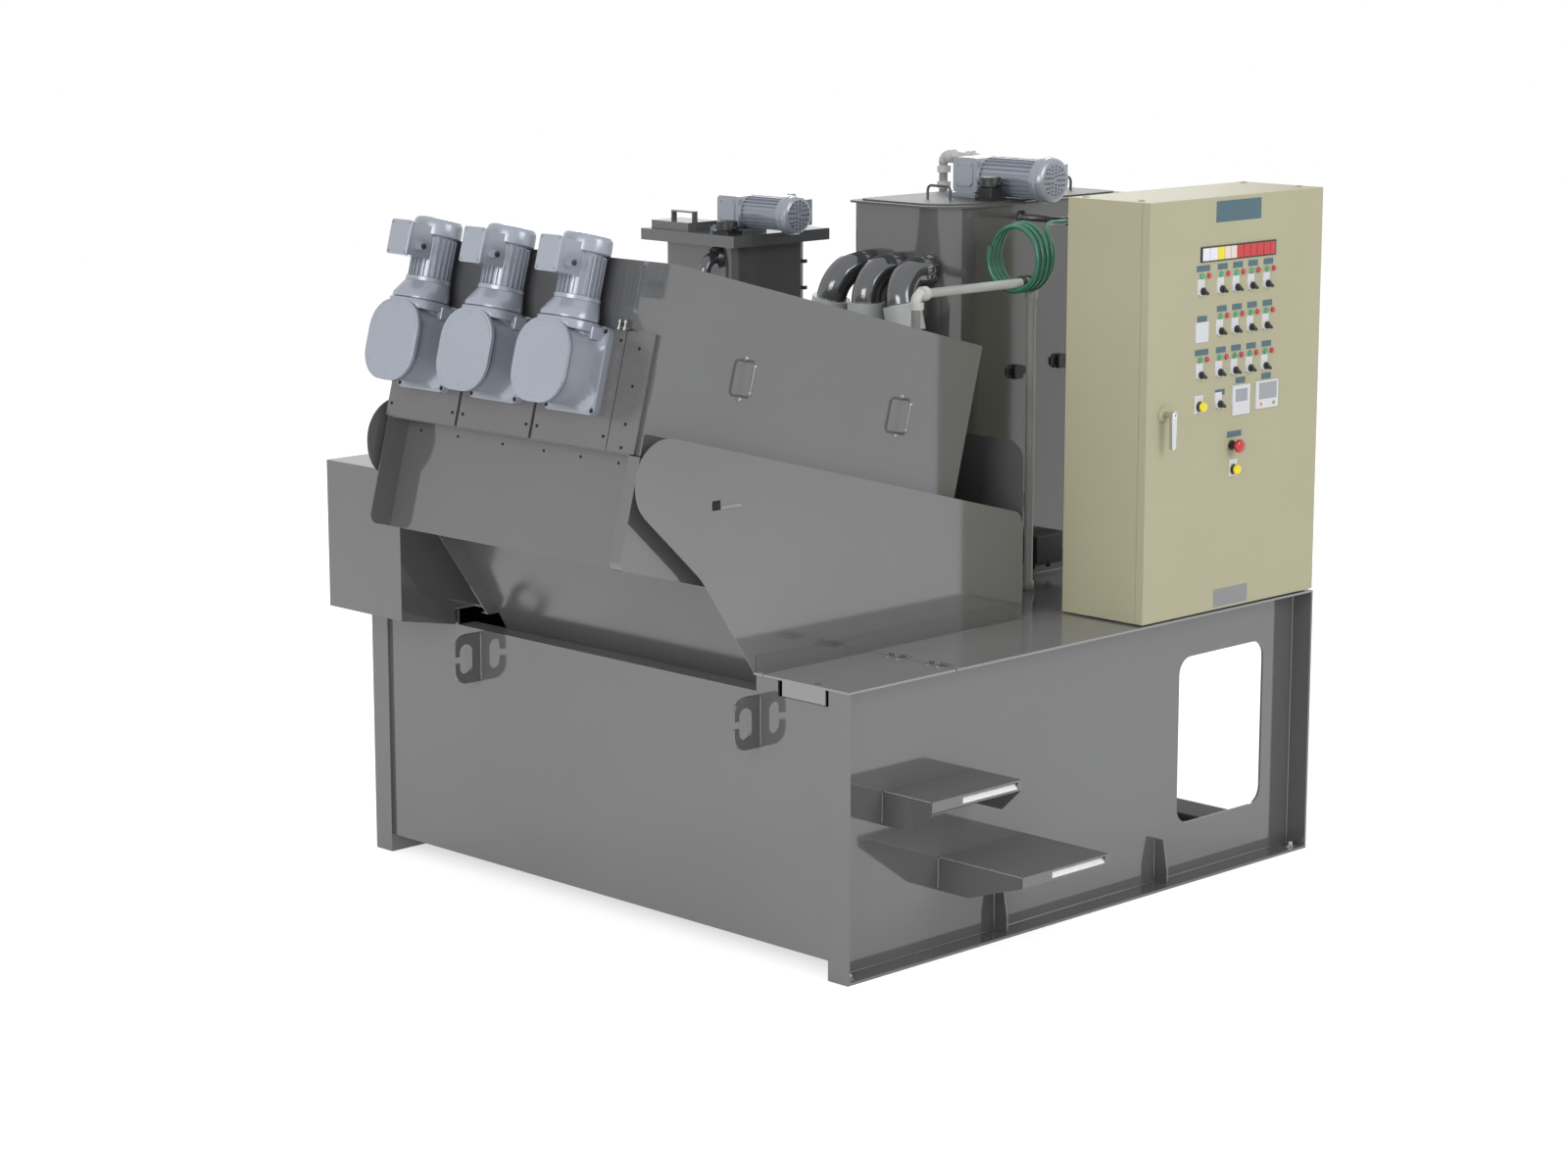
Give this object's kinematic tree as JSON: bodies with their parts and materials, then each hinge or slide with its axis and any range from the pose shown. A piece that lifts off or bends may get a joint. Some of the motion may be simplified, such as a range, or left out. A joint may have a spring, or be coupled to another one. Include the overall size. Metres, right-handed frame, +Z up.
{
  "type": "multi-disc screw press",
  "caption": "Multi-disc screw press on a skid base with tilted press, geared motors, two tanks, hose coil and control cabinet.",
  "frame": {"origin": "on the floor under the middle of the base, centre of the anchor hole pattern", "axes": "+Z up, +X to the side with the steps and the cabinet, -Y to the discharge end with the gearmotors"},
  "size_m": [2.24, 2.5041, 2.081],
  "materials": {
    "stainless": "satin dark stainless sheet",
    "stainless_bright": "smooth bright stainless sheet",
    "polished_steel": "polished tube",
    "motor_paint": "light blue grey paint",
    "cabinet_paint": "semi gloss beige paint",
    "white_plastic": "white plastic pipe",
    "pale_plastic": "pale grey plastic couplings",
    "black_plastic": "black plastic",
    "hose_green": "green rubber hose"
  },
  "bodies": {
    "machine": {"right_side_frame": "stainless", "left_side_frame": "stainless", "top_plate": "stainless", "front_plate": "stainless", "front_ledge": "stainless", "tank_floor": "stainless", "tank_back_plate": "stainless", "rear_cross_members": "stainless", "upper_step": "stainless", "lower_step": "stainless", "lid_hinges": "stainless", "rear_splash_plate": "stainless", "guard_rails": "stainless", "hook_lugs": "stainless", "side_box": "stainless", "side_box_cover": "stainless", "press_casing": "stainless", "press_roof": "stainless", "front_frame": "stainless", "discharge_hood": "stainless", "discharge_bulkhead": "stainless", "screw_drums": "stainless", "right_side_cover": "stainless", "lower_side_channel": "stainless", "mixing_tank": "stainless", "mixing_tank_lid": "stainless", "mixing_tank_hatch": "stainless", "flocculation_tank": "stainless", "flocculation_tank_roof": "stainless", "feed_box": "stainless", "sludge_pipes": "stainless", "right_guard": "stainless_bright", "left_guard": "stainless_bright", "trough_front_wall": "stainless_bright", "motor_plates": "stainless_bright", "mixing_outlet_pipe": "polished_steel", "hose_tap": "polished_steel", "screw_gearbox_1": "motor_paint", "screw_motor_1": "motor_paint", "screw_gearbox_2": "motor_paint", "screw_motor_2": "motor_paint", "screw_gearbox_3": "motor_paint", "screw_motor_3": "motor_paint", "mixing_gearbox": "motor_paint", "mixing_motor": "motor_paint", "flocculation_gearbox": "motor_paint", "flocculation_motor": "motor_paint", "cabinet_body": "cabinet_paint", "rinse_pipe": "white_plastic", "polymer_pipe": "white_plastic", "pipe_couplings": "pale_plastic", "mixing_level_sensor": "black_plastic", "flocculation_level_sensor": "black_plastic", "junction_box": "black_plastic", "hose_coil": "hose_green", "hose_lead": "hose_green"},
    "lid": {"inspection_lid": "stainless"},
    "door": {"cabinet_door": "cabinet_paint"},
    "handle": {"door_handle": "black_plastic"}
  },
  "joints": [
    {"name": "lid_hinge", "type": "hinge", "parent": "machine", "child": "lid", "pos_m": [0.827, -0.583, 0.8045], "axis": [1, 0, 0], "range_deg": [-100, 0]},
    {"name": "door_hinge", "type": "hinge", "parent": "machine", "child": "door", "pos_m": [0.968, 1.0045, 1.405], "axis": [0, 0, 1], "range_deg": [0, 110]},
    {"name": "handle_turn", "type": "hinge", "parent": "door", "child": "handle", "pos_m": [1.004, 0.277, 1.405], "axis": [1, 0, 0], "range_deg": [0, 90]}
  ]
}
